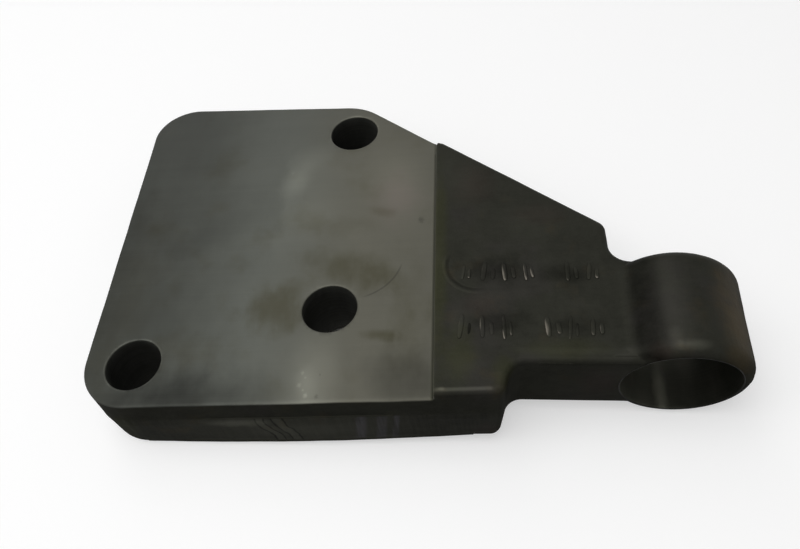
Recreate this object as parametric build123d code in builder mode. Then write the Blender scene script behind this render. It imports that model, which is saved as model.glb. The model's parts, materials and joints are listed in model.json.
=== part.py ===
from build123d import *
from math import cos, radians, sin, sqrt, tan
import os

# Engine bracket: one casting with a milled mounting pad, three through bolt holes,
# a rough web beside the pad, and a bored lug at the end of a short neck.
# Millimetres. The origin is the middle bolt hole's centre on the milled pad, +Z points
# out of the pad, and +Y runs from the straight front edge towards the rear bolt hole.

# Bolt holes, placed from the middle one
bolt_hole_diameter = 17.5
rear_bolt_x = 2.0
rear_bolt_y = 79.0
corner_bolt_x = -60.0
corner_bolt_y = -18.0

# Plate outline at the parting plane, as metal left outside the bolt holes
left_margin = 16.2
front_margin = 15.1
rear_margin = 14.4
slope_margin = 12.8
left_edge_angle = 0.7
rear_edge_angle = 4.3
slope_angle = 39.1
front_left_radius = 16.5
rear_left_radius = 15.0
rear_bolt_radius = 20.0

# Pad, web and shoulder, along X from the middle bolt hole. The shoulder's wall starts at the front
# edge, flares towards the neck and leans out at the top.
pad_reach = 33.0
pad_step_radius = 1.2
shoulder_reach = 51.4
shoulder_flare = 16.0
shoulder_lean = 3.5
shoulder_radius = 3.5
web_reach = 87.2
web_corner_radius = 4.5

# Heights from the milled pad
plate_thickness = 24.0
web_rise = 3.5
parting_depth = 11.2

# Neck: set back from the front edge and turned a little towards it. The neck and lug share
# one front face, which leans out at the top.
neck_setback = 11.2
neck_turn = 2.5
neck_width = 35.5
front_face_lean = 3.8
neck_front_fillet = 5.5
neck_rear_fillet = 6.0

# Lug: a round eye across the neck, with its axis level in the parting plane
lug_reach = 103.3
lug_diameter = 41.2
lug_bore_diameter = 34.0
lug_top_fillet = 8.0
lug_bottom_fillet = 5.0
lug_rim_radius = 4.5

# Casting finish
mould_draft = 2.0
cast_edge_radius = 2.0

# Gate stub on the lower front face, ground to a flat that leans out downwards
gate_length = 104.0
gate_centre = -9.0
gate_depth = 8.0
gate_stand_off = 0.9
gate_swell = 1.2


def direction(angle):
    """Unit vector at an angle in degrees from +X."""
    return Vector(cos(radians(angle)), sin(radians(angle)))


def meet(point_a, angle_a, point_b, angle_b):
    """Crossing point of two lines, each given by a point and an angle from +X."""
    across_b = direction(angle_b + 90)
    run = (point_b - point_a).dot(across_b) / direction(angle_a).dot(across_b)
    return point_a + direction(angle_a) * run


def drafted(sketch, above, below):
    """Grow a sketch on the parting plane up and down, narrowing away from it."""
    extrude(sketch, amount=above, taper=mould_draft)
    lower_half = extrude(sketch, amount=below, taper=mould_draft, mode=Mode.PRIVATE)
    mirror(lower_half, about=parting_plane)


# Lines of the outline, each through one point
corner_bolt = Vector(corner_bolt_x, corner_bolt_y)
rear_bolt = Vector(rear_bolt_x, rear_bolt_y)
left_point = corner_bolt - Vector(left_margin, 0)
front_point = corner_bolt - Vector(0, front_margin)
rear_point = rear_bolt + direction(90 - rear_edge_angle) * rear_margin
slope_point = rear_bolt + direction(90 - slope_angle) * slope_margin
web_point = Vector(web_reach, 0)
lug_point = Vector(lug_reach, 0)
shoulder = Vector(shoulder_reach, front_point.Y)
neck_front_point = shoulder + Vector(0, neck_setback)
neck_rear_point = neck_front_point + direction(90 - neck_turn) * neck_width

# Corners of the outline, counter-clockwise from the front left
front_left = meet(front_point, 0, left_point, 90 + left_edge_angle)
front_right = meet(front_point, 0, lug_point, 90)
neck_root = meet(neck_front_point, -neck_turn, shoulder, 90 - shoulder_flare)
lug_front = meet(neck_front_point, -neck_turn, lug_point, 90)
lug_rear = meet(neck_rear_point, -neck_turn, lug_point, 90)
web_root = meet(neck_rear_point, -neck_turn, web_point, 90)
web_corner = meet(slope_point, -slope_angle, web_point, 90)
rear_corner = meet(slope_point, -slope_angle, rear_point, -rear_edge_angle)
rear_left = meet(rear_point, -rear_edge_angle, left_point, 90 + left_edge_angle)
corner_radii = (
    (front_left, front_left_radius),
    (web_root, neck_rear_fillet),
    (web_corner, web_corner_radius),
    (rear_corner, rear_bolt_radius),
    (rear_left, rear_left_radius),
)

parting_plane = Plane.XY.offset(-parting_depth)

# The lug's elevation lies on this plane: its own X runs out along the neck, its own Y is up
neck_direction = direction(-neck_turn)
lug_plane = Plane(
    origin=lug_front - Vector(0, 0, parting_depth),
    x_dir=neck_direction,
    z_dir=direction(-90 - neck_turn),
)
lug_radius = lug_diameter / 2
neck_top = parting_depth + web_rise
neck_bottom = parting_depth - plate_thickness
slab_length = lug_radius + lug_top_fillet

# A cut as long as the casting passes right through it anywhere
casting_length = lug_reach + lug_radius - left_point.X
near = 1.0

# Space beside the shoulder and in front of the neck and lug, sheared to the lean of its two walls
with BuildPart() as front_space:
    with BuildSketch(parting_plane) as front_plan:
        with BuildLine():
            Polyline(
                neck_root,
                neck_root - direction(90 - shoulder_flare) * casting_length,
                lug_front + Vector(casting_length, -casting_length),
                lug_front + neck_direction * casting_length,
                close=True,
            )
        make_face()
        fillet(front_plan.vertices().sort_by_distance(neck_root)[0], neck_front_fillet)
    face_rise = (
        Vector(0, 0, 1)
        + lug_plane.z_dir * tan(radians(front_face_lean))
        + neck_direction * tan(radians(shoulder_lean))
    )
    extrude(amount=casting_length, dir=face_rise, both=True)

# Plate, web and neck, up to the lug's axis
with BuildPart() as plate:
    with BuildSketch(parting_plane) as outline:
        with BuildLine():
            Polyline(
                front_left,
                front_right,
                lug_rear,
                web_root,
                web_corner,
                rear_corner,
                rear_left,
                close=True,
            )
        make_face()
        for corner, radius in corner_radii:
            fillet(outline.vertices().sort_by_distance(corner)[0], radius)
    drafted(outline.sketch, web_rise + parting_depth, plate_thickness - parting_depth)
    add(front_space.part, mode=Mode.SUBTRACT)
    shoulder_edges = plate.edges().filter_by(
        lambda edge: abs(edge.center().X - shoulder.X) < near and abs(edge.center().Y - shoulder.Y) < near
    )
    fillet(shoulder_edges, shoulder_radius)
    for level_face in plate.faces().filter_by(Axis.Z).sort_by(Axis.Z):
        fillet(level_face.edges(), cast_edge_radius)

# Mould space of the neck and lug, wide enough for the lug's whole round and open at the front
with BuildPart() as lug_mould:
    with BuildSketch(parting_plane) as strip:
        with BuildLine():
            Polyline(
                lug_front - neck_direction * slab_length + lug_plane.z_dir * neck_width,
                lug_front + neck_direction * lug_diameter + lug_plane.z_dir * neck_width,
                lug_rear + neck_direction * lug_diameter,
                lug_rear - neck_direction * slab_length,
                close=True,
            )
        make_face()
    drafted(strip.sketch, lug_diameter, lug_diameter)

# Lug: its round and its blends into the neck, seen along the bore
with BuildPart() as lug:
    with BuildSketch(lug_plane) as elevation:
        Circle(lug_radius)
        with Locations((-slab_length, neck_bottom)):
            Rectangle(slab_length, neck_top - neck_bottom, align=(Align.MIN, Align.MIN))
        for level, blend in ((neck_top, lug_top_fillet), (neck_bottom, lug_bottom_fillet)):
            notch = Vector(-sqrt(lug_radius**2 - level**2), level)
            fillet(elevation.vertices().sort_by_distance(notch)[0], blend)
    extrude(amount=casting_length, both=True)
    add(lug_mould.part, mode=Mode.INTERSECT)
    add(front_space.part, mode=Mode.SUBTRACT)

    # The rims are the side walls' edges, less those at the parting plane and the slab's end
    most_lean = cos(radians(mould_draft + front_face_lean))
    side_walls = lug.faces().filter_by(
        lambda face: abs(face.normal_at().dot(lug_plane.z_dir)) > most_lean
    )
    rim_edges = side_walls.edges().filter_by(
        lambda edge: lug_plane.to_local_coords(edge.center()).X > near - slab_length
        and max(abs(end.Z + parting_depth) for end in edge.vertices()) > near
    )
    fillet(rim_edges, lug_rim_radius)

# The gate stub is a shallow arc in plan, cut back by the ground flat
with BuildPart() as gate_stub:
    gate_root = front_point.Y + gate_stand_off
    gate_left = Vector(gate_centre - gate_length / 2, gate_root)
    gate_right = Vector(gate_centre + gate_length / 2, gate_root)
    with BuildSketch(Plane.XY.offset(-plate_thickness)):
        with BuildLine():
            SagittaArc(gate_left, gate_right, -gate_swell)
            Line(gate_right, gate_left)
        make_face()
    extrude(amount=plate_thickness - gate_depth)
    with BuildSketch(Plane.YZ):
        with BuildLine():
            Polyline(
                (front_point.Y, -gate_depth),
                (front_point.Y - gate_stand_off, -plate_thickness),
                (gate_root, -plate_thickness),
                (gate_root, -gate_depth),
                close=True,
            )
        make_face()
    extrude(amount=casting_length, both=True, mode=Mode.INTERSECT)

with BuildPart() as casting:
    add(plate.part)
    add(lug.part)
    add(gate_stub.part)

    # The pad is milled flat beside the web, with the cutter's radius at the step
    with BuildSketch(Plane.XY):
        with Locations((pad_reach, rear_bolt_y)):
            Rectangle(casting_length, 2 * casting_length, align=(Align.MAX, Align.CENTER))
    extrude(amount=lug_diameter, mode=Mode.SUBTRACT)
    step_foot = casting.edges().filter_by(Axis.Y).filter_by_position(Axis.Z, -near, near)
    fillet(step_foot.sort_by(Axis.X)[-1], pad_step_radius)

    # Three bolt holes through the plate
    with Locations((0, 0), rear_bolt, corner_bolt):
        Hole(bolt_hole_diameter / 2)

    # The lug's bore
    with BuildSketch(lug_plane):
        Circle(lug_bore_diameter / 2)
    extrude(amount=casting_length, both=True, mode=Mode.SUBTRACT)

casting.part.label = "bracket_casting"
os.makedirs("parts", exist_ok=True)
export_step(casting.part, "parts/bracket_casting.step")
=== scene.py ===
import json
import math

import bmesh
import bpy
import numpy as np
from mathutils import Euler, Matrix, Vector, noise


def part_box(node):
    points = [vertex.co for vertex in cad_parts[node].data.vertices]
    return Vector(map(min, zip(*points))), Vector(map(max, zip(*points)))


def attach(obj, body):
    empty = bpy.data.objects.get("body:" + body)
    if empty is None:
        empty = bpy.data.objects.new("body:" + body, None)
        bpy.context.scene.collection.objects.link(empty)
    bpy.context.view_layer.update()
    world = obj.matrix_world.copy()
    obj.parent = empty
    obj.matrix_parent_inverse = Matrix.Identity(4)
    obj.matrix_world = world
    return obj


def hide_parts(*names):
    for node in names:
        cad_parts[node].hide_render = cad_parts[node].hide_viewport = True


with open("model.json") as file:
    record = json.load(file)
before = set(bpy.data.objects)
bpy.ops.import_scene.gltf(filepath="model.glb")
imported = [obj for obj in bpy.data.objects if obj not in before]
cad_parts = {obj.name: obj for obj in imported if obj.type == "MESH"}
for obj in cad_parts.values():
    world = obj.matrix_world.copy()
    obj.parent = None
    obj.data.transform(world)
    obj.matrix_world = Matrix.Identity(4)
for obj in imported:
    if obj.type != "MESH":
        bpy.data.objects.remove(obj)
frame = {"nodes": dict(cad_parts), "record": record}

bl_info = {
    "name": "Engine Bracket",
    "version": (1, 0, 0),
    "blender": (4, 5, 0),
    "location": "3D View > Sidebar > Bracket",
    "description": "Dresses a cast iron bracket: milled pad, cast skin, bored lug, marks and a stage",
    "category": "Object",
}

# The frame: metres, with the middle bolt hole's centre on the milled pad as the origin
MM = 0.001
CASTING = "bracket_casting"
BODY = "root"
MOUNTS = {mount["name"]: mount for mount in frame["record"]["mounts"]}
BOLT_HOLES = [MOUNTS[name] for name in ("middle_bolt_hole", "rear_bolt_hole", "corner_bolt_hole")]
LUG_BORE = MOUNTS["lug_bore"]
LUG_TURN = math.degrees(-LUG_BORE["axis"][0])
CASTING_LOW, CASTING_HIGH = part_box(CASTING)

# Places on the casting that the mesh work and the finishes follow
PAD_REACH = 33.0 * MM
WEB_TOP = 3.5 * MM
PARTING_LEVEL = -11.2 * MM
UNDERSIDE = -24.0 * MM
FRONT_EDGE = -33.1 * MM
GATE_TOP = -8.0 * MM
SLOPE_ANGLE = math.radians(39.1)
WEB_CORNER = Vector((33.0, 69.7)) * MM
FLASH_WIDTH = 0.8 * MM
MARKS_CENTRE = (60.4 * MM, -1.6 * MM, WEB_TOP)
MARKS_TURN = math.radians(-2.8)
CLOSE = 0.06 * MM
WELD = 0.002 * MM

# Edges that bend by more than these are worn by the edge break, and shaded crisp
WORN_BEND = math.radians(38)
CRISP_BEND = math.radians(32)

# The casting's own edge wear and painted shade stay within this. Only the raised marks go past it,
# to their painted highlight and painted shadow
SKIN_WEAR = (-0.55, 0.6)

# A reach that takes in the whole casting, for patches that are bounded along the other axes
ALL = 1e6

# Lines that the finishes follow, in millimetres: the front line of the web's top, the neck's upper front
# edge, which starts at a point and runs towards the lug at a slope, a furrow in the web with its lip, and
# the arc of dried oil on the pad
WEB_FRONT_LINE = (-31.6, -30.6)
NECK_EDGE_START = (51.4, -22.9)
NECK_SLOPE = 0.0437
FURROW_CENTRE = (46.5, 12.0, 0)
FURROW_RADIUS = 9.4
LIP_RADIUS = 10.6
DRIED_CENTRE = (5.6, 20.2, 0)
DRIED_RADIUS = 17.0

# Dried oil on the pad, in millimetres: centre, reach, turn in degrees, and strength
OIL_STAINS = (
    ((-18.0, 1.5), (15.0, 13.5), 0.0, 0.75),
    ((3.0, 16.0), (20.0, 9.0), -12.0, 0.6),
    ((14.0, 12.0), (11.0, 9.0), 0.0, 0.35),
    ((16.5, -10.4), (9.5, 2.9), -6.0, 0.8),
    ((15.2, 39.1), (7.0, 3.2), -18.0, 0.6),
    ((-46.0, -14.0), (15.0, 9.0), 10.0, 0.35),
    ((2.0, 33.0), (16.0, 7.0), 8.0, 0.2),
    ((-68.0, 6.0), (14.0, 60.0), 0.0, 0.3),
    ((25.0, -6.0), (9.0, 30.0), 0.0, 0.35),
)

# Painted reflections on the pad, bright bands and dull corners: centre, reach, turn, and how much lighter
PAD_REFLECTIONS = (
    ((-3.0, -25.0), (11.0, 22.0), 0.0, 0.4),
    ((-4.5, -27.0), (4.5, 9.0), 8.0, 0.3),
    ((-17.0, 56.0), (7.0, 12.0), -14.0, 0.42),
    ((-12.0, 66.0), (11.0, 9.0), 20.0, 0.16),
    ((-10.0, 40.0), (14.0, 10.0), 0.0, 0.1),
    ((19.0, 54.0), (17.0, 26.0), 10.0, 0.26),
    ((-42.0, 34.0), (22.0, 12.0), 24.0, -0.1),
    ((-34.0, 62.0), (15.0, 16.0), 0.0, 0.08),
    ((-38.0, -31.0), (38.0, 15.0), 4.0, -0.5),
    ((26.0, -27.0), (20.0, 19.0), 0.0, -0.42),
    ((-74.0, 20.0), (10.0, 70.0), 0.0, -0.1),
)

# Grit and bright nicks on the pad: centre, reach, and how much lighter
PAD_SPECKS = (
    ((28.0, 34.4), 1.5, -0.5),
    ((-5.9, -22.6), 0.8, 0.5),
    ((-4.9, -24.3), 0.5, 0.4),
    ((-6.6, -26.8), 0.9, 0.6),
    ((-5.2, -28.4), 0.5, 0.5),
    ((-4.3, -30.2), 0.9, 0.9),
    ((-1.0, -30.6), 0.8, -0.55),
    ((-0.6, -23.4), 0.45, -0.4),
    ((-19.2, 60.0), 0.8, 0.25),
)

# Light and dark patches of the cast skin, among them painted highlights on the web's front corner,
# the lug's rim and crest and the front face, and painted shade below the lug's mouth: centre, reach,
# and how much lighter
SKIN_TONES_AND_LIGHT = (
    ((52.0, 9.5, 3.5), (16.0, 6.5, 2.0), -0.42),
    ((73.0, 7.0, 3.5), (13.0, 6.0, 2.0), -0.32),
    ((54.0, -9.5, 3.5), (12.0, 6.0, 2.0), -0.36),
    ((73.0, -12.0, 3.5), (11.0, 5.5, 2.0), -0.28),
    ((54.0, 0.0, 3.5), (12.0, 3.0, 2.0), 0.14),
    ((40.0, -8.0, 3.5), (4.0, 9.0, 2.0), 0.2),
    ((42.0, -24.0, 3.5), (9.0, 7.0, 2.0), 0.16),
    ((40.0, 52.0, 3.5), (12.0, 22.0, 2.0), 0.18),
    ((64.0, 28.0, 3.5), (16.0, 12.0, 2.0), 0.12),
    ((35.4, -30.9, 3.5), (1.3, 0.9, 1.5), 1.1),
    ((103.8, -22.4, 8.8), (6.6, 2.2, 2.8), 0.8),
    ((99.6, -19.6, 8.6), (2.8, 5.0, 3.0), 0.4),
    ((115.0, -24.0, -22.0), (14.0, 7.0, 13.0), -0.6),
    ((101.0, -10.0, 9.4), (6.0, 26.0, 3.0), 0.3),
    ((-28.0, -33.2, -10.6), (12.0, 2.0, 3.2), 1.25),
    ((-8.0, -33.2, -16.0), (26.0, 2.0, 7.0), 0.35),
)

# Tinted patches of the cast skin: centre, reach, colour, and strength
PINKISH = (0.032, 0.027, 0.024)
REDDISH = (0.032, 0.0265, 0.022)
OLIVE = (0.031, 0.032, 0.018)
TAN = (0.056, 0.044, 0.026)
SKIN_TINTS = (
    ((80.5, -23.2, -9.0), (9.0, 4.0, 12.0), PINKISH, 0.7),
    ((48.0, -33.0, -20.0), (9.0, 3.0, 8.0), PINKISH, 0.6),
    ((95.6, -23.0, 5.6), (4.4, 4.6, 5.0), REDDISH, 0.85),
    ((47.0, -3.0, 3.5), (8.0, 6.0, 2.0), REDDISH, 0.5),
    ((46.0, 46.0, 3.5), (10.0, 13.0, 2.0), REDDISH, 0.5),
    ((66.0, 31.0, 3.5), (13.0, 6.0, 2.0), REDDISH, 0.35),
    ((40.0, -20.0, 3.5), (8.0, 12.0, 2.0), OLIVE, 0.6),
    ((70.0, -19.0, 3.5), (18.0, 5.0, 2.0), OLIVE, 0.5),
    ((34.6, 15.0, 3.5), (3.4, 55.0, 3.0), OLIVE, 0.8),
    ((53.0, -27.0, 2.0), (5.0, 8.0, 6.0), OLIVE, 0.7),
    ((-63.0, -32.0, -12.0), (6.0, 4.0, 9.0), OLIVE, 0.6),
    ((118.0, -14.0, 1.0), (10.0, 26.0, 13.0), TAN, 0.85),
    ((122.0, 6.0, -6.0), (7.0, 22.0, 13.0), TAN, 0.6),
)

# Grinder strokes on the gate: place along X at the gate's top, and half width. Each kind has its own lean
UPRIGHT_STROKES = ((11.0, 2.2), (17.3, 2.1), (21.6, 1.2))
SLANTED_STROKES = ((-20.3, 1.5), (-14.6, 1.7))
UPRIGHT_LEAN = -0.16
SLANTED_LEAN = 0.25

# Material slots of the dressed casting, in order
MILLED, CAST, DRILLED, BORED = range(4)

# Levels of the stage: the sky's light, the floor's glow to the eye near and far away, and the glow that
# shows the underside
SKY_LIGHT = 0.24
NEAR_GLOW = 0.48
FAR_GLOW = 0.85
UNDERSIDE_GLOW = 0.5


class BracketSizes(bpy.types.PropertyGroup):
    """Sizes of the casting's surface detail"""

    cell: bpy.props.FloatProperty(
        name="Skin cell", description="Spacing of the cuts that give the cast skin its relief",
        default=1.4 * MM, min=0.5 * MM, max=10 * MM, precision=5, unit="LENGTH",
    )
    edge_break: bpy.props.FloatProperty(
        name="Edge break", description="Width of the worn edge where two machined or cast faces meet",
        default=0.3 * MM, min=0.0, max=1 * MM, precision=5, unit="LENGTH",
    )
    relief: bpy.props.FloatProperty(
        name="Skin relief", description="Depth of the waves that the sand mould left",
        default=0.13 * MM, min=0.0, max=1 * MM, precision=5, unit="LENGTH",
    )
    flash: bpy.props.FloatProperty(
        name="Parting flash", description="Height of the ridge where the mould halves met",
        default=0.16 * MM, min=0.0, max=1 * MM, precision=5, unit="LENGTH",
    )
    corner_round: bpy.props.FloatProperty(
        name="Web corner", description="Radius that wear left on the web's sharp corner at the step",
        default=2.0 * MM, min=0.1 * MM, max=3 * MM, precision=5, unit="LENGTH",
    )
    mark_count: bpy.props.IntProperty(
        name="Marks", description="Places for raised casting marks along a row, some of them worn away",
        default=7, min=2, max=20,
    )
    mark_pitch: bpy.props.FloatProperty(
        name="Mark pitch", description="Spacing of the raised casting marks along a row",
        default=6.3 * MM, precision=5, unit="LENGTH",
    )
    mark_height: bpy.props.FloatProperty(
        name="Mark height", description="Length of one raised mark across its row",
        default=8.2 * MM, precision=5, unit="LENGTH",
    )
    mark_gap: bpy.props.FloatProperty(
        name="Row gap", description="Distance between the two rows of marks",
        default=20.0 * MM, precision=5, unit="LENGTH",
    )
    mark_width: bpy.props.FloatProperty(
        name="Mark width", description="Width of one raised mark",
        default=1.6 * MM, precision=5, unit="LENGTH",
    )
    mark_rise: bpy.props.FloatProperty(
        name="Mark rise", description="How far the marks stand out of the web",
        default=0.5 * MM, precision=5, unit="LENGTH",
    )


class BracketColours(bpy.types.PropertyGroup):
    """Colours of the casting's finishes"""

    milled: bpy.props.FloatVectorProperty(
        name="Milled iron", description="Freshly cut iron under a film of oil",
        default=(0.067, 0.0705, 0.0615), subtype="COLOR", min=0, max=1,
    )
    milled_warm: bpy.props.FloatVectorProperty(
        name="Milled iron, warm side", description="Cut iron where the oil has yellowed",
        default=(0.0650, 0.0635, 0.0510), subtype="COLOR", min=0, max=1,
    )
    cast: bpy.props.FloatVectorProperty(
        name="Cast skin", description="Dark oiled skin of the iron as it came from the sand",
        default=(0.0250, 0.0252, 0.0200), subtype="COLOR", min=0, max=1,
    )
    stain: bpy.props.FloatVectorProperty(
        name="Oil stain", description="Dried oil on the milled pad",
        default=(0.0455, 0.0430, 0.0255), subtype="COLOR", min=0, max=1,
    )
    bloom: bpy.props.FloatVectorProperty(
        name="Pad bloom", description="Reddish film on the pad, near the step",
        default=(0.079, 0.068, 0.060), subtype="COLOR", min=0, max=1,
    )
    # Painted shade at the foot of the milled step and on its wall
    step_shade: bpy.props.FloatVectorProperty(
        name="Step dirt", description="Dirt at the foot of the milled step",
        default=(0.040, 0.040, 0.028), subtype="COLOR", min=0, max=1,
    )
    cast_grey: bpy.props.FloatVectorProperty(
        name="Cast skin, grey", description="Cast skin where the oil is dry",
        default=(0.0252, 0.0244, 0.0210), subtype="COLOR", min=0, max=1,
    )
    stroke: bpy.props.FloatVectorProperty(
        name="Grinder stroke", description="Bare iron in the strokes on the gate",
        default=(0.045, 0.043, 0.046), subtype="COLOR", min=0, max=1,
    )
    # Painted highlight, as bare iron, on one side of the raised marks' edges
    rubbed_highlight: bpy.props.FloatVectorProperty(
        name="Rubbed iron", description="Bare iron on the edges of the raised marks",
        default=(0.15, 0.137, 0.114), subtype="COLOR", min=0, max=1,
    )
    # Painted shadow round the foot of the raised marks
    mark_foot_shadow: bpy.props.FloatVectorProperty(
        name="Hollow dirt", description="Dirt round the foot of the raised marks",
        default=(0.010, 0.010, 0.008), subtype="COLOR", min=0, max=1,
    )
    # Old oil, and painted shade deeper in the bolt holes
    hole_oil_and_shade: bpy.props.FloatVectorProperty(
        name="Bolt hole oil", description="Old oil on the walls of the bolt holes",
        default=(0.036, 0.036, 0.032), subtype="COLOR", min=0, max=1,
    )
    bore: bpy.props.FloatVectorProperty(
        name="Bore", description="Oily iron of the lug's bore",
        default=(0.035, 0.039, 0.029), subtype="COLOR", min=0, max=1,
    )
    bore_warm: bpy.props.FloatVectorProperty(
        name="Bore, warm", description="Iron of the lug's bore where the oil is thin",
        default=(0.042, 0.038, 0.032), subtype="COLOR", min=0, max=1,
    )
    rust: bpy.props.FloatVectorProperty(
        name="Rust bloom", description="Thin brown rust on the cast skin",
        default=(0.036, 0.030, 0.019), subtype="COLOR", min=0, max=1,
    )
    floor: bpy.props.FloatVectorProperty(
        name="Floor", description="Plain pale floor",
        default=(0.6, 0.6, 0.6), subtype="COLOR", min=0, max=1,
    )


class Value:
    """A value on a surface: one output socket, whose arithmetic adds Math nodes."""

    def __init__(self, finish, socket):
        self.finish = finish
        self.socket = socket

    def math(self, operation, *values):
        return self.finish.node("ShaderNodeMath", {"operation": operation}, values)

    def __add__(self, other):
        return self.math("ADD", self, other)

    def __radd__(self, other):
        return self.math("ADD", other, self)

    def __sub__(self, other):
        return self.math("SUBTRACT", self, other)

    def __rsub__(self, other):
        return self.math("SUBTRACT", other, self)

    def __mul__(self, other):
        return self.math("MULTIPLY", self, other)

    def __rmul__(self, other):
        return self.math("MULTIPLY", other, self)

    def __abs__(self):
        return self.math("ABSOLUTE", self)


class Finish:
    """One material, written as expressions on Values. Patterns are placed in millimetres of the frame."""

    def __init__(self, name):
        self.material = bpy.data.materials.new(name)
        self.material.use_nodes = True
        self.tree = self.material.node_tree
        self.tree.nodes.clear()
        self.place = self.node(
            "ShaderNodeVectorMath",
            {"operation": "SCALE"},
            {"Vector": self.node("ShaderNodeTexCoord", output="Object"), "Scale": 1 / MM},
        )

    def node(self, kind, settings=None, inputs=(), output=0):
        """Adds one node: its settings first, then the values or links of its open sockets."""
        added = self.tree.nodes.new(kind)
        for key, value in (settings or {}).items():
            setattr(added, key, value)
        sockets = [socket for socket in added.inputs if socket.enabled]
        by_name = {socket.name: socket for socket in sockets}
        pairs = inputs.items() if isinstance(inputs, dict) else enumerate(inputs)
        for key, value in pairs:
            socket = by_name[key] if isinstance(key, str) else sockets[key]
            if isinstance(value, Value):
                self.tree.links.new(value.socket, socket)
            else:
                socket.default_value = value
        if isinstance(output, str):
            return Value(self, added.outputs[output])
        outputs = [socket for socket in added.outputs if socket.enabled]
        return Value(self, outputs[output]) if outputs else None

    def stretched(self, stretch, shift=(0, 0, 0), turn=0.0):
        """The place in millimetres, moved, turned about Z by degrees, and divided by a stretch."""
        return self.node(
            "ShaderNodeMapping",
            {"vector_type": "TEXTURE"},
            {
                "Vector": self.place,
                "Location": shift,
                "Rotation": (0, 0, math.radians(turn)),
                "Scale": stretch,
            },
        )

    def noise(self, span, detail=3.0, rough=0.55, stretch=(1, 1, 1), shift=(0, 0, 0), turn=0.0):
        """Cloudy noise from 0 to 1, whose largest features measure span millimetres."""
        vector = self.stretched([span * share for share in stretch], shift, turn)
        return self.node(
            "ShaderNodeTexNoise",
            inputs={"Vector": vector, "Scale": 1.0, "Detail": detail, "Roughness": rough},
        )

    def ramp(self, value, start, end):
        """0 where value is at start, 1 where it is at end, and smooth between them."""
        if start > end:
            return 1 - self.ramp(value, end, start)
        return self.node(
            "ShaderNodeMapRange",
            {"interpolation_type": "SMOOTHSTEP"},
            {"Value": value, "From Min": start, "From Max": end},
        )

    def distance(self, centre, reach, turn=0.0):
        """Distance from a centre, in units of a reach along each axis."""
        vector = self.stretched(reach, centre, turn)
        return self.node("ShaderNodeVectorMath", {"operation": "LENGTH"}, {"Vector": vector}, "Value")

    def patch(self, centre, reach, edge=0.0, turn=0.0, solid=0.15):
        """1 in the middle of a patch and 0 outside it. An edge value makes its outline ragged."""
        return self.ramp(self.distance(centre, reach, turn) + edge, 1.0, solid)

    def spot(self, centre, reach, edge=0.0, turn=0.0, solid=0.15):
        """A patch on the top faces, whatever their height."""
        return self.patch((*centre, 0), (*reach, ALL), edge, turn, solid)

    def band(self, value, low, high, soft):
        """1 between low and high, with soft edges."""
        return self.ramp(value, low - soft, low + soft) * self.ramp(value, high + soft, high - soft)

    def split(self, vector):
        """A vector's three coordinates."""
        first = self.node("ShaderNodeSeparateXYZ", inputs={"Vector": vector})
        return [Value(self, socket) for socket in first.socket.node.outputs]

    def axes(self):
        """The place's three coordinates in millimetres."""
        return self.split(self.place)

    def facing(self):
        """The surface's own direction, as three coordinates."""
        return self.split(self.node("ShaderNodeNewGeometry", output="Normal"))

    def mix(self, base, top, share):
        """A colour between base and top."""
        return self.node(
            "ShaderNodeMix",
            {"data_type": "RGBA", "clamp_factor": True},
            {"Factor": share, "A": rgba(base), "B": rgba(top)},
        )

    def shade(self, colour, level):
        """A colour made lighter or darker by a value."""
        return self.node(
            "ShaderNodeVectorMath", {"operation": "SCALE"}, {"Vector": colour, "Scale": level}
        )

    def bump(self, height, depth, normal=None):
        """A bump of depth metres where height goes from 0 to 1."""
        inputs = {"Height": height, "Distance": depth, "Strength": 1.0}
        if normal is not None:
            inputs["Normal"] = normal
        return self.node("ShaderNodeBump", inputs=inputs)

    def finish(self, constants, **linked):
        """Joins the shader: constants on its own sockets, and what varies linked to it."""
        sockets = {
            "colour": "Base Color", "roughness": "Roughness", "metallic": "Metallic", "normal": "Normal",
        }
        inputs = dict(constants)
        inputs.update({sockets[key]: value for key, value in linked.items()})
        shader = self.node("ShaderNodeBsdfPrincipled", inputs=inputs)
        self.node("ShaderNodeOutputMaterial", inputs={"Surface": shader})
        return self.material


def rgba(colour):
    """A plain colour with its alpha, or a Value as it is."""
    return colour if isinstance(colour, Value) else (*colour, 1.0)


def in_mm(mount):
    """A mount's centre in millimetres."""
    return [place / MM for place in mount["pos_m"]]


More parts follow.
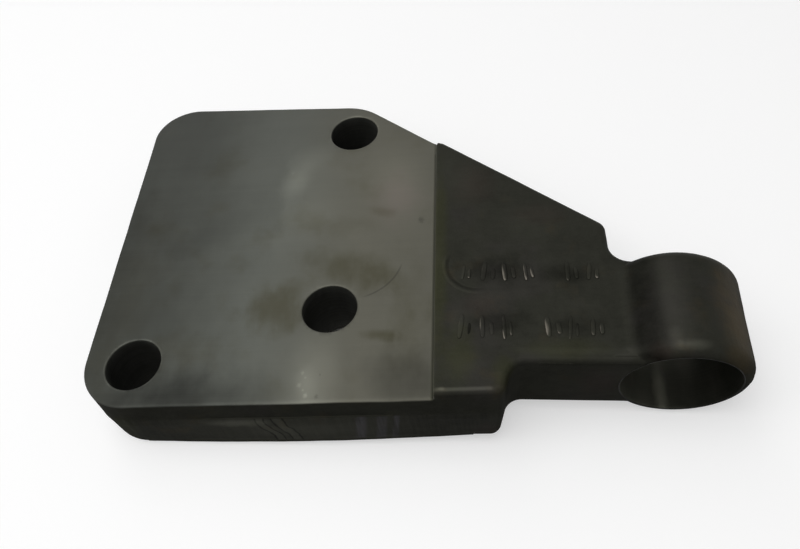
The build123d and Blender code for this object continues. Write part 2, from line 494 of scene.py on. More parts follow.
def milled_iron(colours):
    """The pad as the face mill left it: soft bands of tone, faint cutter lines, dried oil and specks."""
    pad = Finish("milled_iron")
    x, y, z = pad.axes()
    drift = pad.noise(15, detail=3, shift=(7, 3, 0)) - 0.5
    clouds = pad.noise(32, detail=4, shift=(2, 5, 0)) - 0.5
    wisps = pad.noise(6, detail=5, rough=0.62, stretch=(0.7, 1.7, 1), shift=(1, 9, 0)) - 0.5
    across = x + 9 * drift
    grit = pad.noise(0.8, detail=3) - 0.5
    ragged = 0.9 * drift + 0.6 * wisps
    soft_edge = 0.7 * drift + 0.2 * wisps

    # Broad tone, as painted reflection: dull to the left, brighter past a line left of the middle,
    # brightest at the rear right
    tone = 1.0 - 0.42 * pad.ramp(across, -18, -64) + 0.2 * clouds + 0.12 * wisps + 0.12 * drift
    feathered = x + 12 * drift + 7 * wisps
    tone = tone + 0.2 * pad.ramp(feathered, -24, -19) * pad.ramp(x, 14, -12) * pad.band(y, 26, 70, 12)
    tone = tone + 0.14 * pad.ramp(across, -10, 12) * pad.ramp(y, 0, 40)
    # Bright bands and dull corners, as painted reflections
    for centre, reach, turn, lighter in PAD_REFLECTIONS:
        tone = tone + lighter * pad.spot(centre, reach, soft_edge, turn, solid=0.0)
    for centre, reach, lighter in PAD_SPECKS:
        tone = tone + 0.7 * lighter * pad.spot(centre, (reach, 1.3 * reach), 1.3 * grit)

    # Cutter lines run along X: a fine pitch with a slow swell, each line of its own strength
    fine_lines = pad.noise(0.35, detail=2, rough=0.6, stretch=(160, 1, 1)) - 0.5
    swell_lines = pad.noise(2.6, detail=2, rough=0.5, stretch=(60, 1, 1), shift=(0, 4, 0)) - 0.5
    tone = tone + 0.11 * fine_lines + 0.08 * swell_lines

    # Thin painted highlights on the deburred rims of two of the bolt holes
    for hole in BOLT_HOLES[1:]:
        off_rim = abs(pad.distance(in_mm(hole), (1, 1, ALL)) - (hole["dims"]["r_mm"] + 0.35))
        tone = tone + (0.16 + 1.2 * wisps) * pad.ramp(off_rim, 0.4, 0.1)

    # Dried oil, and the thin line where its edge dried
    stained = sum(
        strength * pad.spot(centre, reach, 1.7 * ragged, turn, solid=0.0)
        for centre, reach, turn, strength in OIL_STAINS
    )
    stained = stained + 0.35 * pad.ramp(pad.noise(18, detail=4, shift=(31, 5, 0)), 0.5, 0.72)
    dried_edge = pad.ramp(abs(pad.distance(DRIED_CENTRE, (1, 1, ALL)) - DRIED_RADIUS), 0.45, 0.1)
    dried_edge = dried_edge * pad.ramp(x, 9.5, 13) * pad.ramp(y, 17, 14)

    # Painted shade at the foot of the step and on its wall, and a reddish bloom near it
    step_foot_shade = pad.ramp(x, 31.7, 32.5)
    wall = pad.ramp(z, 0.05, 0.5)
    bloom = pad.spot((20, 45), (14, 17), ragged, solid=0.0)

    colour = pad.mix(colours.milled, colours.milled_warm, pad.ramp(across, -30, 14))
    colour = pad.mix(colour, colours.stain, stained)
    colour = pad.mix(colour, colours.bloom, 0.5 * bloom)
    colour = pad.shade(colour, tone - 0.3 * dried_edge)
    colour = pad.mix(colour, colours.step_shade, 0.85 * step_foot_shade + 0.85 * wall)

    roughness = 0.42 + 0.14 * stained + 0.12 * clouds + 0.1 * wisps + 0.05 * fine_lines
    lines = pad.bump(fine_lines + 0.5 * swell_lines, 0.01 * MM)
    return pad.finish(
        {"IOR": 1.5, "Specular IOR Level": 0.3},
        colour=colour, roughness=roughness, metallic=0.88 - 0.3 * stained, normal=lines,
    )


def edge_light_and_shade(skin):
    """How much lighter: a painted highlight on the web's front edge, and painted highlight and shade on the
    neck's rounded edge.
    """
    x, y, z = skin.axes()
    on_web = skin.band(x, 33.6, 49.5, 0.6) * skin.ramp(z, 2.2, 3.2)
    neck_edge = y + NECK_SLOPE * (x - NECK_EDGE_START[0]) - NECK_EDGE_START[1]
    on_neck = skin.band(x, 57, 92, 2.5) * skin.ramp(z, 0.4, 2.0)
    # Painted highlight above the neck's rounded edge, and painted shade on it
    rounded = 0.2 * skin.band(neck_edge, 2.4, 4.6, 0.7) - 0.1 * skin.ramp(neck_edge, 2.0, 1.0)
    return 0.9 * skin.band(y, *WEB_FRONT_LINE, 0.35) * on_web + rounded * on_neck


def furrow_in_web(skin):
    """A curved furrow in the web, left by a chip of sand, and the lip beside it."""
    x, y, z = skin.axes()
    off_centre = skin.distance(FURROW_CENTRE, (1, 1, ALL))
    lower_left = skin.ramp(x + y, 60, 52) * skin.ramp(x, 50, 45) * skin.ramp(y, 17, 13)
    shown = lower_left * skin.ramp(z, 2.5, 3.2)
    furrow = skin.ramp(abs(off_centre - FURROW_RADIUS), 0.7, 0.15) * shown
    lip = skin.ramp(abs(off_centre - LIP_RADIUS), 0.6, 0.15) * shown
    return furrow, lip


def grinder_strokes(skin, grind_lines):
    """The gate's bare upright strokes, its slanted strokes, and the dark outlines of the slanted ones."""
    x, _, z = skin.axes()
    below_top = z - GATE_TOP / MM
    upright = x + UPRIGHT_LEAN * below_top + 0.8 * grind_lines
    bends = skin.noise(8, detail=2, stretch=(3, 1, 1), shift=(0, 0, 6)) - 0.5
    slanting = x + SLANTED_LEAN * below_top + 0.9 * grind_lines + 6 * bends
    bare = sum(skin.ramp(abs(upright - place), half, 0.4 * half) for place, half in UPRIGHT_STROKES)
    slants = sum(skin.ramp(abs(slanting - place), half, 0.4 * half) for place, half in SLANTED_STROKES)
    outlines = sum(
        skin.ramp(abs(abs(slanting - place) - half), 0.5, 0.1) for place, half in SLANTED_STROKES
    )
    return bare, slants, outlines


def cast_iron(colours):
    """The sand-cast skin: soft oily mottle, fine grain, thin rust, rubbed edges and a ground gate."""
    skin = Finish("as_cast_iron")
    x, y, z = skin.axes()
    _, face_y, face_z = skin.facing()
    wear_and_shade = skin.node("ShaderNodeAttribute", {"attribute_name": "edge_wear"}, output="Fac")

    # Uneven oil, from broad patches down to grain
    broad = skin.noise(34, detail=2, shift=(3, 8, 2)) - 0.5
    patchy = skin.noise(10, detail=4, rough=0.55, shift=(11, 2, 5)) - 0.5
    mottle = skin.noise(3.2, detail=4, rough=0.6, shift=(5, 1, 9)) - 0.5
    grain = skin.noise(0.75, detail=3, rough=0.6) - 0.5
    streaks = skin.noise(1.8, detail=3, rough=0.6, stretch=(5, 1, 2), shift=(9, 6, 0)) - 0.5
    ragged = 0.9 * patchy + 0.5 * mottle
    tone = 1.0 + 0.3 * broad + 0.54 * patchy + 0.4 * mottle + 0.26 * grain + 0.22 * streaks

    # Upright faces take painted shade against the top. Convex edges are lighter, as rubbed wear and painted
    # highlight, and hollows take painted shade
    upright = skin.ramp(face_z, 0.85, 0.25)
    tone = tone - 0.14 * upright + 0.2 * skin.ramp(wear_and_shade, 0.08, 0.4) - 0.22 * skin.ramp(wear_and_shade, -0.05, -0.4)
    # Among these patches are painted highlights and painted shade on the lug, the web's edge and the front
    for centre, reach, lighter in SKIN_TONES_AND_LIGHT:
        tone = tone + lighter * skin.patch(centre, reach, ragged)
    tone = tone + edge_light_and_shade(skin)

    # Painted shade on the lug's rising side, in a band along the bore, and a little painted shade round its
    # mouth
    beside_bore = x - NECK_SLOPE * y
    tone = tone - 0.5 * skin.band(beside_bore, 90, 97.5, 2.4) * skin.ramp(z, 2.5, 5)
    mouth_shade = skin.ramp(skin.distance(in_mm(LUG_BORE), (1, ALL, 1), LUG_TURN), 18.3, 17.2)

    # The gate's ground flat, with grinder strokes. The face above it is a little darker
    front = skin.ramp(face_y, -0.8, -0.95)
    below = skin.ramp(z, -7.4, -9.0)
    gate = front * below * skin.ramp(y, -32.3, -32.8) * skin.ramp(z, -23.5, -21.5)
    grind_lines = skin.noise(1.1, detail=2, rough=0.5, stretch=(1, 1, 14), shift=(4, 0, 0)) - 0.5
    bare, slants, outlines = grinder_strokes(skin, grind_lines)
    tone = tone - 0.1 * front * (1 - below) * skin.ramp(x, 52, 46)
    tone = tone + gate * (0.38 * skin.ramp(x, 34, 8) * skin.ramp(x, -62, -24) - 0.17)
    tone = tone + gate * (0.36 * slants - 0.7 * outlines + 0.5 * grind_lines)

    # The furrow is painted darker as shade, and its lip lighter as a highlight, on top of their bump
    furrow, lip = furrow_in_web(skin)
    tone = tone + (0.8 + 2 * mottle) * (0.2 * lip - 0.36 * furrow)

    # Olive and grey oil, thin rust, the tints of single places, and bare iron in the upright strokes
    rusted = 0.5 * skin.ramp(skin.noise(13, detail=5, rough=0.6, shift=(2, 17, 3)), 0.54, 0.74)
    colour = skin.mix(colours.cast, colours.cast_grey, skin.ramp(broad + 0.5 * patchy, 0.0, 0.2))
    colour = skin.mix(colour, colours.rust, rusted)
    for centre, reach, tint, strength in SKIN_TINTS:
        colour = skin.mix(colour, tint, strength * skin.patch(centre, reach, ragged))
    colour = skin.mix(colour, colours.stroke, bare * gate * (0.6 + 1.3 * grind_lines))
    colour = skin.shade(colour, tone * (1 - 0.3 * mouth_shade))

    # The raised marks take a painted highlight on one side of their edges, and painted shadow round their
    # foot
    colour = skin.mix(colour, colours.rubbed_highlight, skin.ramp(wear_and_shade, 0.65, 1.5))
    colour = skin.mix(colour, colours.mark_foot_shadow, skin.ramp(wear_and_shade, -0.65, -1.0))

    roughness = 0.5 + 0.14 * mottle + 0.12 * grain + 0.1 * patchy
    sand = skin.bump(grain, 0.05 * MM)
    waves = skin.bump(mottle + 0.8 * patchy, 0.11 * MM, sand)
    hollows = skin.bump(furrow - 0.5 * lip + 0.25 * gate * outlines, -0.14 * MM, waves)
    return skin.finish(
        {"IOR": 1.5, "Specular IOR Level": 0.0},
        colour=colour, roughness=roughness, metallic=0.42 - 0.34 * upright + 0.08 * gate, normal=hollows,
    )


def drilled_wall(colours):
    """A drilled bolt hole's wall: rings from the drill, oil held in them, and painted shade further down.
    """
    wall = Finish("drilled_wall")
    z = wall.axes()[2]
    rings = wall.noise(0.5, detail=2, stretch=(60, 60, 1)) - 0.5
    smear = wall.noise(5, detail=4, stretch=(1, 1, 2)) - 0.5
    # Painted shade, darker deeper in the hole
    depth = wall.ramp(z, -0.3, -4.5)
    tone = 1.0 + 0.5 * rings + 0.6 * smear - 0.2 * depth
    colour = wall.shade(wall.mix(colours.milled, colours.hole_oil_and_shade, 0.62 + 0.3 * depth), tone)
    return wall.finish(
        {"IOR": 1.5, "Specular IOR Level": 0.0},
        colour=colour, roughness=0.5 + 0.2 * smear, metallic=0.5 - 0.4 * depth,
        normal=wall.bump(rings, 0.04 * MM),
    )


def bored_wall(colours):
    """The lug's bore: turned rings round its axis, an oily film, a painted highlight streak along the
    bottom, painted light on its near side, and painted shade on its far side and rim.
    """
    wall = Finish("bored_wall")
    x, y, z = wall.axes()
    rings = wall.noise(0.45, detail=2, stretch=(60, 1, 60), turn=LUG_TURN) - 0.5
    film = wall.noise(7, detail=4, stretch=(1, 2.2, 1), shift=(4, 4, 4)) - 0.5
    across = x - NECK_SLOPE * y + 4.0 * film
    bottom = wall.ramp(z, -20, -24)
    # A painted highlight streak along the bottom, painted light on the near side, painted shade on the far
    # side and at the rim
    streak_highlight = wall.band(across, 100.4, 103.2, 1.4) * bottom * (0.25 + 0.75 * wall.ramp(y, -8, -14))
    shaded_side = wall.ramp(across, 102, 108)
    lit_side = wall.ramp(across, 101, 95)
    shaded_rim = wall.ramp(abs(wall.facing()[1]), 0.15, 0.6)
    tone = 1.0 + 0.25 * rings + 0.5 * film + 1.8 * streak_highlight + 0.85 * lit_side - 0.4 * shaded_side
    colour = wall.shade(wall.mix(colours.bore, colours.bore_warm, 0.5 + film), tone * (1 - 0.85 * shaded_rim))
    return wall.finish(
        {"IOR": 1.5, "Specular IOR Level": 0.06},
        colour=colour, roughness=0.42 + 0.15 * film, metallic=0.5 - 0.5 * shaded_rim,
        normal=wall.bump(rings, 0.025 * MM),
    )


def off_axis(point, mount):
    """Distance of a point from a bore's axis, and the way outwards from it."""
    centre = Vector(mount["pos_m"])
    axis = Vector(mount["axis"]).normalized()
    across = point - centre
    across -= axis * across.dot(axis)
    return across.length, across.normalized()


def in_bore(point, mount, spare):
    """True within a bore's radius and some spare."""
    return off_axis(point, mount)[0] < mount["dims"]["r_mm"] * MM + spare


def surface_kind(centre, normal, edge_break):
    """Which finish a face takes, from where it lies and the way it faces."""
    if in_bore(centre, LUG_BORE, edge_break) and centre.x > PAD_REACH:
        return BORED
    for hole in BOLT_HOLES:
        if in_bore(centre, hole, CLOSE) and abs(normal.z) < 0.9:
            return DRILLED if centre.z < -edge_break else MILLED
    if centre.x < PAD_REACH + CLOSE and centre.z > -edge_break * 1.05 and normal.z > 0.3:
        return MILLED
    if abs(centre.x - PAD_REACH) < edge_break and 0 < centre.z < WEB_TOP and normal.x < -0.3:
        return MILLED
    return CAST


def merged_copy(source):
    """The CAD mesh as one joined skin, with flat faces whole again."""
    skin = bmesh.new()
    skin.from_mesh(source.data)
    bmesh.ops.remove_doubles(skin, verts=skin.verts, dist=WELD)
    bmesh.ops.dissolve_limit(
        skin, angle_limit=math.radians(0.2), verts=skin.verts, edges=skin.edges,
        use_dissolve_boundaries=False,
    )
    return skin


def break_edges(skin, width):
    """Rounds the sharp edges a little, as handling and deburring do. The gate's edges stay as ground."""
    sharp = []
    for edge in skin.edges:
        middle = (edge.verts[0].co + edge.verts[1].co) / 2
        on_gate = middle.y < FRONT_EDGE + 1.5 * MM and middle.z < GATE_TOP + 0.5 * MM
        if edge.is_manifold and not on_gate and edge.calc_face_angle() > WORN_BEND:
            sharp.append(edge)
    bmesh.ops.bevel(
        skin, geom=sharp, offset=width, offset_type="OFFSET", segments=2, profile=0.5,
        affect="EDGES", clamp_overlap=False,
    )


def cut_grid(skin, cell):
    """Cuts every face along a square grid, so that the skin can take relief."""
    for axis in range(3):
        way = Vector([float(axis == other) for other in range(3)])
        low, high = CASTING_LOW[axis], CASTING_HIGH[axis]
        for level in np.arange(low + cell / 2, high, cell):
            bmesh.ops.bisect_plane(
                skin, geom=skin.verts[:] + skin.edges[:] + skin.faces[:],
                plane_co=way * float(level), plane_no=way, dist=CLOSE / 10,
            )
    bmesh.ops.remove_doubles(skin, verts=skin.verts, dist=WELD * 5)
    bmesh.ops.dissolve_degenerate(skin, edges=skin.edges, dist=WELD * 5)


def smooth_step(value, start, end):
    """0 at start, 1 at end, and smooth between them."""
    share = min(max((value - start) / (end - start), 0.0), 1.0)
    return share * share * (3 - 2 * share)


def sand_relief(point):
    """Height of the cast skin over its drawn surface, from about -1 to 1: waves and a few soft dents."""
    place = point / MM
    waves = noise.noise(place / 19) + 0.5 * noise.noise(place / 8.3) + 0.16 * noise.noise(place / 3.6)
    distances, points = noise.voronoi(place / 13)
    dented = noise.noise(points[0] * 3.7) > 0.2
    return waves - (0.5 * smooth_step(distances[0], 0.45, 0.0) if dented else 0.0)


def soften_gate(skin):
    """Blends the top of the gate's ground flat into the face above it."""
    near_top = [
        vert for vert in skin.verts
        if vert.co.y < FRONT_EDGE + 0.6 * MM and abs(vert.co.z - GATE_TOP) < 1.6 * MM
    ]
    for _ in range(6):
        bmesh.ops.smooth_vert(skin, verts=near_top, factor=0.5, use_axis_x=False, use_axis_y=True)


def round_web_corner(skin, radius):
    """Wears the web's sharp corner at the step to a radius."""
    wall_way = Vector((1, 0))
    slope_way = Vector((-math.sin(SLOPE_ANGLE), -math.cos(SLOPE_ANGLE)))
    half = (math.pi / 2 - SLOPE_ANGLE) / 2
    inward = (wall_way + slope_way).normalized()
    centre = WEB_CORNER + inward * (radius / math.sin(half))
    for vert in skin.verts:
        if vert.co.z < CLOSE:
            continue
        out = vert.co.xy - centre
        within = out.length > radius and out.normalized().dot(-inward) > math.sin(half)
        if within and out.length < 3 * radius / math.sin(half):
            vert.co.xy = centre + out * (radius / out.length)


def relief_share(point):
    """The share of the relief that a point takes: none on the rim of a hole, all a few millimetres away."""
    share = 1.0
    for hole in BOLT_HOLES:
        beyond = off_axis(point, hole)[0] - hole["dims"]["r_mm"] * MM
        share *= smooth_step(beyond, 0.4 * MM, 3 * MM)
    if point.x > PAD_REACH:
        beyond = off_axis(point, LUG_BORE)[0] - LUG_BORE["dims"]["r_mm"] * MM
        share *= smooth_step(beyond, 0.4 * MM, 2.2 * MM)
    return share


def relief_way(vert, kinds, edge_break):
    """The way that a point moves: along its normal, but not off the milled pad's plane or its step."""
    point = vert.co
    way = vert.normal.copy()
    if point.x >= PAD_REACH + 2 * edge_break or point.z <= -2 * edge_break:
        return way
    if point.z < WEB_TOP - 2 * edge_break or point.x < PAD_REACH - CLOSE:
        way.z = 0.0
    if MILLED in kinds and point.z > CLOSE:
        way.x = 0.0
    level = math.hypot(way.x, way.y)
    if point.x < PAD_REACH - 2 * MM and level > 1e-4:
        way /= level
    return way


def roughen(skin, sizes):
    """Moves the cast skin by its relief. Milled faces stay flat, and bores and holes stay round."""
    skin.normal_update()
    moves = {}
    for vert in skin.verts:
        kinds = {face.material_index for face in vert.link_faces}
        if kinds <= {DRILLED} or kinds <= {BORED}:
            continue
        height = sizes.relief * sand_relief(vert.co)

        # The parting ridge runs round the upright faces, and the front face has none
        if abs(vert.normal.z) < 0.4 and vert.normal.y >= -0.8:
            ridge = math.exp(-(((vert.co.z - PARTING_LEVEL) / FLASH_WIDTH) ** 2))
            height += sizes.flash * ridge * (0.5 + noise.noise(vert.co / (9 * MM)))
        moves[vert] = relief_way(vert, kinds, sizes.edge_break) * (height * relief_share(vert.co))
    for vert, move in moves.items():
        vert.co += move
        for axis in range(3):
            vert.co[axis] = min(max(vert.co[axis], CASTING_LOW[axis]), CASTING_HIGH[axis])


def paint_wear_and_shade(mesh):
    """Stores how far each point stands out of its surroundings, for rubbed edges with painted highlight,
    and painted shade in hollows.
    """
    count = len(mesh.vertices)
    co = np.empty(count * 3)
    mesh.vertices.foreach_get("co", co)
    co = co.reshape(-1, 3)
    normals = np.empty(count * 3, np.float32)
    mesh.vertex_normals.foreach_get("vector", normals)
    normals = normals.reshape(-1, 3)
    ends = np.empty(len(mesh.edges) * 2, int)
    mesh.edges.foreach_get("vertices", ends)
    start, end = ends.reshape(-1, 2).T
    links = np.bincount(start, minlength=count) + np.bincount(end, minlength=count)

    def spread(values):
        """Mean of each point's neighbours, weighted as one with its own value."""
        total = values + np.bincount(start, values[end], count) + np.bincount(end, values[start], count)
        return total / (links + 1)

    around = co
    for _ in range(4):
        around = np.stack([spread(around[:, axis]) for axis in range(3)], 1)
    stands_out = np.einsum("ij,ij->i", co - around, normals) / MM
    for _ in range(2):
        stands_out = spread(stands_out)
    wear_and_shade = mesh.attributes.new("edge_wear", "FLOAT", "POINT")
    wear_and_shade.data.foreach_set("value", np.clip(stands_out * 2.5, *SKIN_WEAR).astype(np.float32))


def smooth_faces(mesh):
    """Smooth shading, with the machined edges kept crisp."""
    mesh.shade_smooth()
    mesh.set_sharp_from_angle(angle=CRISP_BEND)


def add_piece(name, mesh):
    """Links a mesh at the origin and lets it ride with the casting."""
    piece = bpy.data.objects.new(name, mesh)
    bpy.context.scene.collection.objects.link(piece)
    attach(piece, BODY)
    return piece


class BRACKET_OT_dress_casting(bpy.types.Operator):
    """Give the casting its skin, worn edges and finishes"""

    bl_idname = "bracket.dress_casting"
    bl_label = "Dress Casting"

    def execute(self, context):
        sizes = context.scene.bracket_sizes
        colours = context.scene.bracket_colours
        skin = merged_copy(frame["nodes"][CASTING])
        break_edges(skin, sizes.edge_break)
        cut_grid(skin, sizes.cell)
        skin.normal_update()
        for face in skin.faces:
            face.material_index = surface_kind(face.calc_center_median(), face.normal, sizes.edge_break)
        soften_gate(skin)
        round_web_corner(skin, sizes.corner_round)
        roughen(skin, sizes)
        bmesh.ops.triangulate(skin, faces=skin.faces)
        mesh = bpy.data.meshes.new("dressed_casting")
        skin.to_mesh(mesh)
        skin.free()
        for finish in (milled_iron, cast_iron, drilled_wall, bored_wall):
            mesh.materials.append(finish(colours))
        smooth_faces(mesh)
        paint_wear_and_shade(mesh)
        piece = add_piece("dressed_casting", mesh)
        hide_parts(CASTING)
        return {"FINISHED"}


def marks_tree():
    """Geometry nodes that set worn raised bars on a grid over the web."""
    tree = bpy.data.node_groups.new("casting_marks", "GeometryNodeTree")
    tree.interface.new_socket("Geometry", in_out="OUTPUT", socket_type="NodeSocketGeometry")
    inputs = (
        ("Marks", "NodeSocketInt"), ("Rows", "NodeSocketInt"), ("Length", "NodeSocketFloat"),
        ("Row Gap", "NodeSocketFloat"), ("Bar", "NodeSocketVector"), ("Centre", "NodeSocketVector"),
        ("Beside", "NodeSocketVector"), ("Turn", "NodeSocketVector"), ("Seed", "NodeSocketInt"),
        ("Material", "NodeSocketMaterial"),
    )
    for name, kind in inputs:
        tree.interface.new_socket(name, in_out="INPUT", socket_type=kind)
    given = tree.nodes.new("NodeGroupInput").outputs
    group_out = tree.nodes.new("NodeGroupOutput")

    def node(kind, settings=None, **links):
        """Adds one node, its sockets named in words joined by underscores, and gives its open output."""
        added = tree.nodes.new(kind)
        for key, value in (settings or {}).items():
            setattr(added, key, value)
        shown = [socket for socket in reversed(added.inputs) if socket.enabled]
        sockets = {socket.name.replace(" ", "_"): socket for socket in shown}
        for key, value in links.items():
            for source in value if isinstance(value, list) else [value]:
                if isinstance(source, bpy.types.NodeSocket):
                    tree.links.new(source, sockets[key])
                else:
                    sockets[key].default_value = source
        return next(socket for socket in added.outputs if socket.enabled)

    grid = node(
        "GeometryNodeMeshGrid", Size_X=given["Length"], Size_Y=given["Row Gap"],
        Vertices_X=given["Marks"], Vertices_Y=given["Rows"],
    )
    bar = node("GeometryNodeMeshCube", Size=given["Bar"])
    rounded = node("GeometryNodeSubdivisionSurface", Mesh=bar, Level=3, Edge_Crease=0.25)
    beside = node(
        "GeometryNodeTransform", Geometry=rounded, Translation=given["Beside"],
        Rotation=(0.0, 0.0, 0.06), Scale=(0.9, 0.6, 0.9),
    )
    pair = node("GeometryNodeJoinGeometry", Geometry=[rounded, beside])
    lost = node(
        "FunctionNodeRandomValue", {"data_type": "BOOLEAN"}, Probability=0.14, Seed=given["Seed"]
    )
    kept = node("GeometryNodeDeleteGeometry", Geometry=grid, Selection=lost)
    lean = node(
        "FunctionNodeRandomValue", {"data_type": "FLOAT_VECTOR"},
        Min=(-0.03, -0.08, -0.12), Max=(0.03, 0.08, 0.12), Seed=given["Seed"],
    )
    worn = node(
        "FunctionNodeRandomValue", {"data_type": "FLOAT_VECTOR"},
        Min=(0.7, 0.75, 0.45), Max=(1.15, 1.15, 1.0), Seed=given["Seed"],
    )
    placed = node("GeometryNodeInstanceOnPoints", Points=kept, Instance=pair, Rotation=lean, Scale=worn)
    moved = node(
        "GeometryNodeTransform", Geometry=placed, Translation=given["Centre"], Rotation=given["Turn"]
    )
    solid = node("GeometryNodeRealizeInstances", Geometry=moved)
    smooth = node("GeometryNodeSetShadeSmooth", Geometry=solid)
    coated = node("GeometryNodeSetMaterial", Geometry=smooth, Material=given["Material"])
    tree.links.new(coated, group_out.inputs["Geometry"])
    return tree


def grown(tree, values):
    """The plain mesh that a geometry tree makes from named inputs."""
    carrier = bpy.data.objects.new("carrier", bpy.data.meshes.new("carrier"))
    bpy.context.scene.collection.objects.link(carrier)
    modifier = carrier.modifiers.new("grow", "NODES")
    modifier.node_group = tree
    for item in tree.interface.items_tree:
        if item.in_out == "INPUT":
            modifier[item.identifier] = values[item.name]
    depsgraph = bpy.context.evaluated_depsgraph_get()
    mesh = bpy.data.meshes.new_from_object(carrier.evaluated_get(depsgraph))
    bpy.data.objects.remove(carrier)
    return mesh


class BRACKET_OT_raise_marks(bpy.types.Operator):
    """Set two rows of plain worn bars on the web"""

    bl_idname = "bracket.raise_marks"
    bl_label = "Raise Marks"

    def execute(self, context):
        sizes = context.scene.bracket_sizes
        mesh = grown(marks_tree(), {
            "Marks": sizes.mark_count,
            "Rows": 2,
            "Length": sizes.mark_pitch * (sizes.mark_count - 1),
            "Row Gap": sizes.mark_gap,
            "Bar": (sizes.mark_width, sizes.mark_height, 2 * sizes.mark_rise),
            "Beside": (0.42 * sizes.mark_pitch, -0.08 * sizes.mark_height, 0.0),
            "Centre": MARKS_CENTRE,
            "Turn": (0.0, 0.0, MARKS_TURN),
            "Seed": 4,
            "Material": bpy.data.materials["as_cast_iron"],
        })
        self.paint_mark_light(mesh, sizes.mark_rise)
        mesh.name = "casting_marks"
        add_piece("casting_marks", mesh)
        return {"FINISHED"}

    def paint_mark_light(self, mesh, rise):
        """Stores a painted highlight on one side of the marks' edges and painted shadow round their foot,
        with the edge wear.
        """
        wear_and_shade = mesh.attributes.new("edge_wear", "FLOAT", "POINT")
        highlight_way = Vector((-0.45, -0.75, 0.48))
        for vertex in mesh.vertices:
            above = (vertex.co.z - WEB_TOP) / rise
            uneven = 0.7 + noise.noise(vertex.co / (4 * MM))
            rubbed_highlight = max(0.0, vertex.normal.dot(highlight_way) - 0.3) * uneven
            foot_shadow = 1.1 * smooth_step(above, 0.35, 0.0)
            wear_and_shade.data[vertex.index].value = 3.4 * rubbed_highlight * smooth_step(above, 0.1, 0.5) - foot_shadow


def seen_by_eye(tree):
    """A socket that is 1 for what the camera sees, straight, in a mirror or through glass, and else 0."""
    path = tree.nodes.new("ShaderNodeLightPath")
    seen = path.outputs["Is Camera Ray"]
    for name in ("Is Glossy Ray", "Is Transmission Ray"):
        either = tree.nodes.new("ShaderNodeMath")
        either.operation = "MAXIMUM"
        tree.links.new(seen, either.inputs[0])
        tree.links.new(path.outputs[name], either.inputs[1])
        seen = either.outputs[0]
    return seen


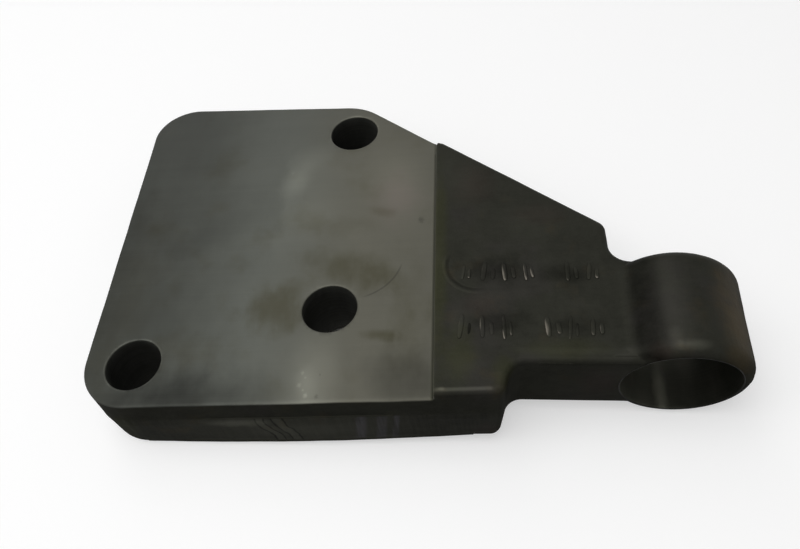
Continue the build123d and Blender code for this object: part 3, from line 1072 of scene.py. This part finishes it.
class BRACKET_OT_set_stage(bpy.types.Operator):
    """Set the floor, the soft lights and the camera"""

    bl_idname = "bracket.set_stage"
    bl_label = "Set Stage"

    def execute(self, context):
        scene = context.scene
        scene.view_settings.view_transform = "Standard"
        self.light_world(scene)
        self.lay_floor(scene)
        self.hang_lamps(scene)
        self.place_camera(scene)
        return {"FINISHED"}

    def light_world(self, scene):
        """An even sky at a plain level, white where it is seen."""
        world = bpy.data.worlds.new("studio")
        scene.world = world
        world.use_nodes = True
        tree = world.node_tree
        tree.nodes.clear()
        seen = seen_by_eye(tree)
        level = tree.nodes.new("ShaderNodeMapRange")
        level.inputs["To Min"].default_value = SKY_LIGHT
        level.inputs["To Max"].default_value = 1.0
        sky = tree.nodes.new("ShaderNodeBackground")
        sky.inputs["Color"].default_value = (1.0, 1.0, 1.0, 1.0)
        out = tree.nodes.new("ShaderNodeOutputWorld")
        tree.links.new(seen, level.inputs["Value"])
        tree.links.new(level.outputs["Result"], sky.inputs["Strength"])
        tree.links.new(sky.outputs["Background"], out.inputs["Surface"])

    def lay_floor(self, scene):
        """A floor that touches the lug's lowest line and the plate's lower left edge."""
        half = 3.0
        contact_x = LUG_BORE["pos_m"][0]
        slope = (UNDERSIDE - CASTING_LOW.z) / (contact_x - CASTING_LOW.x)
        mesh = bpy.data.meshes.new("floor")
        corners = [
            (contact_x + side * half, end * half, CASTING_LOW.z - slope * side * half)
            for side, end in ((-1, -1), (1, -1), (1, 1), (-1, 1))
        ]
        mesh.from_pydata(corners, [], [(0, 1, 2, 3)])
        floor = bpy.data.objects.new("floor", mesh)
        scene.collection.objects.link(floor)
        mesh.materials.append(self.pale_floor(scene.bracket_colours.floor))

    def pale_floor(self, colour):
        """A matt floor that the eye sees as white, with the casting's shadow. It stays dark under the bolt
        holes, throws a little light on the underside, and is clear from below."""
        floor = Finish("floor")
        x, y, _ = floor.axes()
        # Painted shade: the floor has no glow under the bolt holes
        under_hole_shade = sum(
            floor.patch(in_mm(hole), (reach, reach, ALL), solid=0.8)
            for hole, reach in zip(BOLT_HOLES, (14, 10, 10))
        )
        under_plate = floor.band(x, -62, 46, 6) * floor.band(y, -20, 42, 6)
        seen = Value(floor, seen_by_eye(floor.tree))
        far_off = floor.ramp(floor.distance((0, 0, 0), (1, 1, ALL)), 250, 1500)
        lift = (NEAR_GLOW + (FAR_GLOW - NEAR_GLOW) * far_off) * (1 - under_hole_shade)
        glow = seen * lift + UNDERSIDE_GLOW * under_plate * (1 - seen)
        above = floor.node("ShaderNodeBsdfPrincipled", inputs={
            "Base Color": rgba(colour),
            "Roughness": 0.9,
            "Specular IOR Level": 0.1,
            "Emission Color": floor.shade((1.0, 1.0, 1.0), glow),
            "Emission Strength": 1.0,
        })
        below = floor.node("ShaderNodeNewGeometry", output="Backfacing")
        clear = floor.node("ShaderNodeBsdfTransparent")
        surface = floor.node("ShaderNodeMixShader", inputs=(below, above, clear))
        floor.node("ShaderNodeOutputMaterial", inputs={"Surface": surface})
        return floor.material

    def hang_lamps(self, scene):
        """A broad soft key overhead, a small box behind for the metal's glow, and a weak fill at left."""
        lamps = (
            ("key", (-0.2, -0.15, 1.0), 1.0, 7.0),
            ("back_box", (-0.25, 0.62, 0.86), 0.5, 0.9),
            ("fill", (-0.7, -0.1, 0.6), 0.6, 0.8),
        )
        aim = (CASTING_LOW + CASTING_HIGH) / 2
        for name, place, size, power in lamps:
            lamp = bpy.data.lights.new(name, "AREA")
            lamp.shape = "SQUARE"
            lamp.size = size
            lamp.energy = power
            holder = bpy.data.objects.new(name, lamp)
            holder.location = place
            holder.rotation_euler = (Vector(place) - aim).to_track_quat("Z", "Y").to_euler()
            scene.collection.objects.link(holder)

    def place_camera(self, scene):
        """The photograph's viewing angle, solved from the bolt holes and the plate's edges."""
        lens = bpy.data.cameras.new("camera")
        lens.lens = 34.138
        lens.clip_start = 0.01
        camera = bpy.data.objects.new("camera", lens)
        camera.location = (0.05154, -0.1316, 0.19146)
        camera.rotation_euler = Euler([math.radians(angle) for angle in (36.849, 7.216, 2.208)])
        scene.collection.objects.link(camera)
        scene.camera = camera


class BRACKET_PT_panel(bpy.types.Panel):
    """Lists the bracket's steps and their sizes"""

    bl_label = "Engine Bracket"
    bl_idname = "BRACKET_PT_panel"
    bl_space_type = "VIEW_3D"
    bl_region_type = "UI"
    bl_category = "Bracket"

    def draw(self, context):
        for step in STEPS:
            self.layout.operator(step.bl_idname)
        for group in (context.scene.bracket_sizes, context.scene.bracket_colours):
            box = self.layout.box()
            for name in group.__annotations__:
                box.prop(group, name)


STEPS = (BRACKET_OT_set_stage, BRACKET_OT_dress_casting, BRACKET_OT_raise_marks)
CLASSES = (BracketSizes, BracketColours, *STEPS, BRACKET_PT_panel)


def register():
    for item in CLASSES:
        bpy.utils.register_class(item)
    bpy.types.Scene.bracket_sizes = bpy.props.PointerProperty(type=BracketSizes)
    bpy.types.Scene.bracket_colours = bpy.props.PointerProperty(type=BracketColours)


def unregister():
    del bpy.types.Scene.bracket_colours
    del bpy.types.Scene.bracket_sizes
    for item in reversed(CLASSES):
        bpy.utils.unregister_class(item)


def main():
    register()
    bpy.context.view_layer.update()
    bpy.ops.bracket.set_stage()
    bpy.ops.bracket.dress_casting()
    bpy.ops.bracket.raise_marks()


if __name__ == "__main__":
    main()
